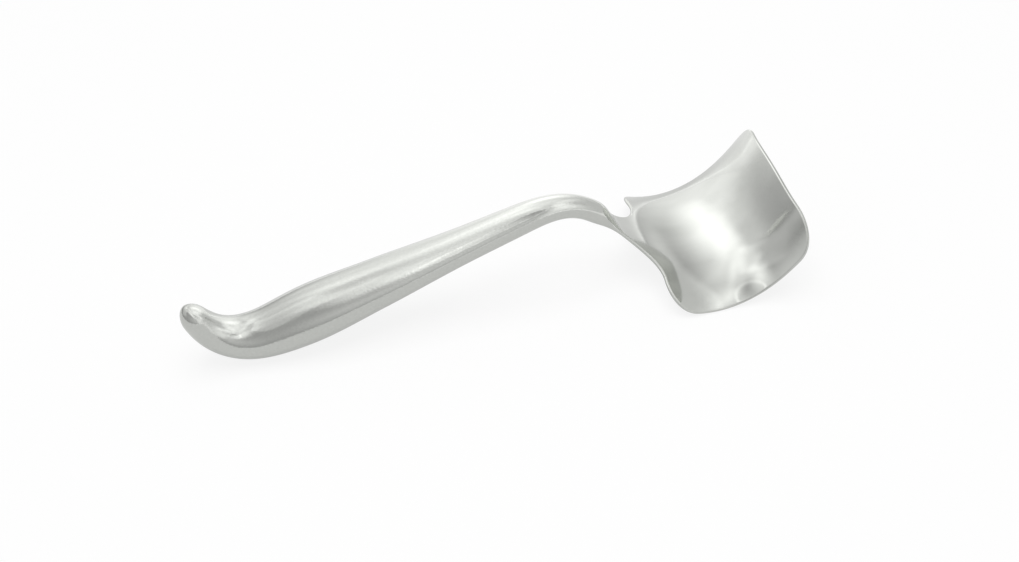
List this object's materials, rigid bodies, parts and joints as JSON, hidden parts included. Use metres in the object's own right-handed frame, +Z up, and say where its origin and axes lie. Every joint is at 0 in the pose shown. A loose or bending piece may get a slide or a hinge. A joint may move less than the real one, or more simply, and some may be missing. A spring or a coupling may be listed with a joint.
{
  "type": "abdominal retractor",
  "caption": "Hand-held abdominal retractor in one piece: contoured handle with a curled end, slim bent neck and a broad saddle-shaped blade that sweeps forward and up",
  "frame": {"origin": "centre of the bounding box in X and Y, on the table that the handle's belly and the blade's side edges rest on", "axes": "+X along the length, from the curled end of the handle towards the blade; +Y across the blade; +Z up, away from the table"},
  "size_m": [0.2394, 0.072, 0.0462],
  "materials": {
    "satin_steel": "satin, fine grain along the handle, polished to a soft sheen"
  },
  "bodies": {
    "root": {"retractor": "satin_steel"}
  },
  "joints": []
}
